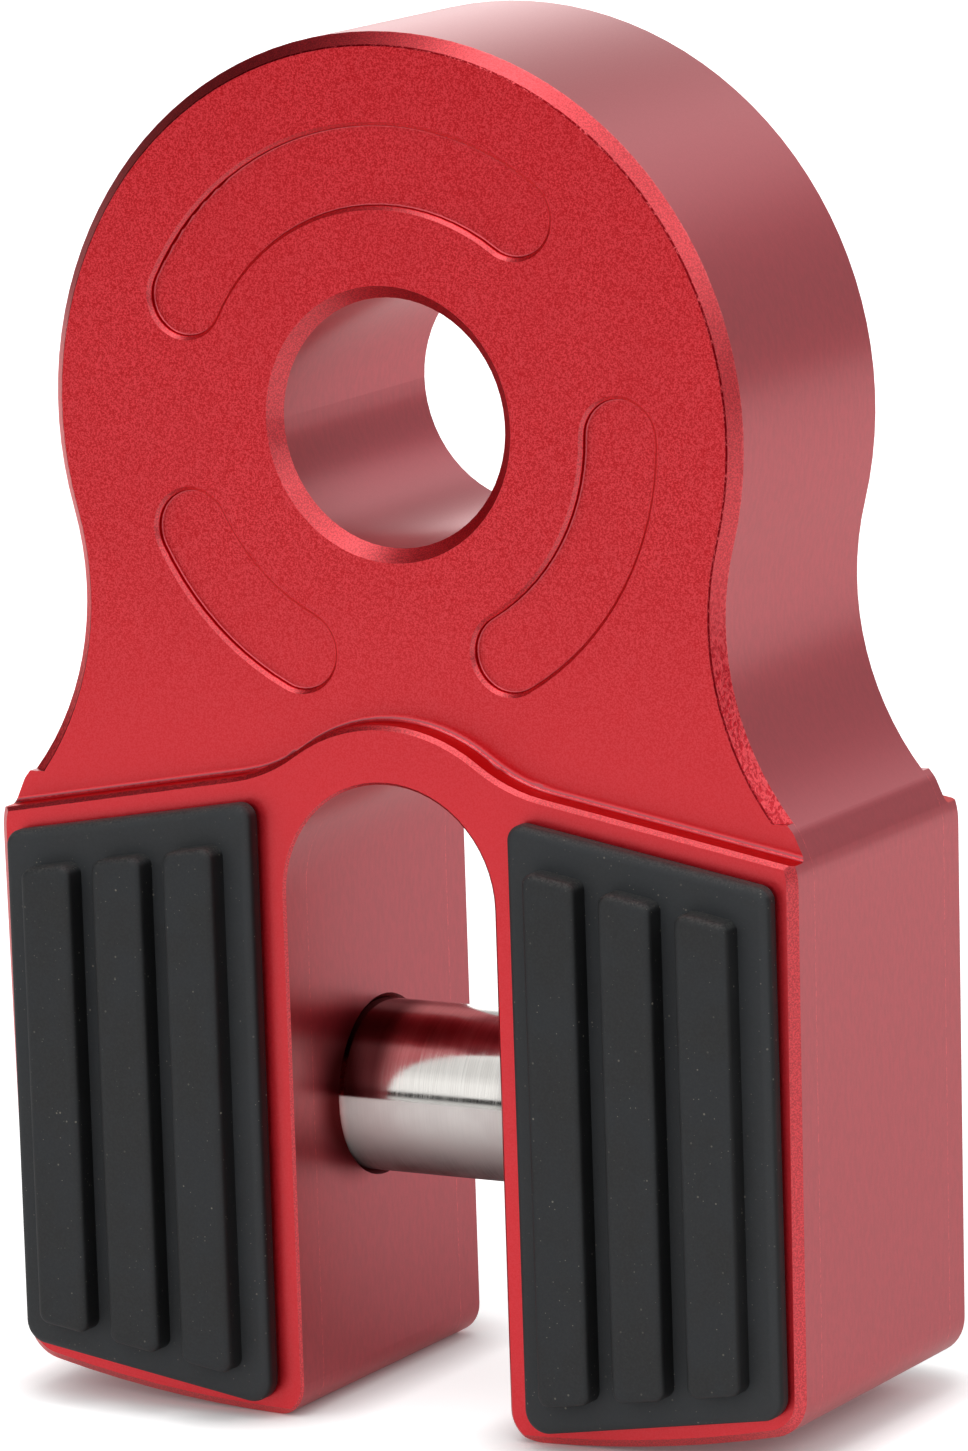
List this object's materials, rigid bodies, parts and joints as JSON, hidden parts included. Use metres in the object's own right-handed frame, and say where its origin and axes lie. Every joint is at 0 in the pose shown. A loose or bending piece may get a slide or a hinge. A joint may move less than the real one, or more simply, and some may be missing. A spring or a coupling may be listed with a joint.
{
  "type": "winch line shackle mount",
  "caption": "Thick block with a round eye for a shackle pin above two legs that hold a cross pin for a winch line, with ribbed rubber pads on both faces of the legs.",
  "frame": {"origin": "centre of the shackle-pin bore, half way through the body", "axes": "+Z from the bore away from the legs, +Y along the bore towards the rear face, +X along the cross pin towards its blind end"},
  "size_m": [0.082, 0.0428, 0.1273],
  "materials": {
    "anodised_body": "red anodised, fine satin grain",
    "steel_pin": "polished stainless steel",
    "spring_steel_ring": "phosphated spring steel",
    "adhesive": "matte adhesive film",
    "rubber_pad": "matte moulded rubber"
  },
  "bodies": {
    "mount_body": {"body": "anodised_body", "film_front_left": "adhesive", "film_front_right": "adhesive", "film_rear_left": "adhesive", "film_rear_right": "adhesive", "pad_front_left": "rubber_pad", "pad_front_right": "rubber_pad", "pad_rear_left": "rubber_pad", "pad_rear_right": "rubber_pad"},
    "ring": {"snap_ring": "spring_steel_ring"},
    "pin": {"line_pin": "steel_pin"}
  },
  "joints": [
    {"name": "ring_pull", "type": "slide", "parent": "mount_body", "child": "ring", "axis": [-1, 0, 0], "range_m": [0, 0.08], "deforming": ["snap_ring"]},
    {"name": "pin_spin", "type": "hinge", "parent": "ring", "child": "pin", "pos_m": [0, 0, -0.0642], "axis": [1, 0, 0], "continuous": true}
  ]
}
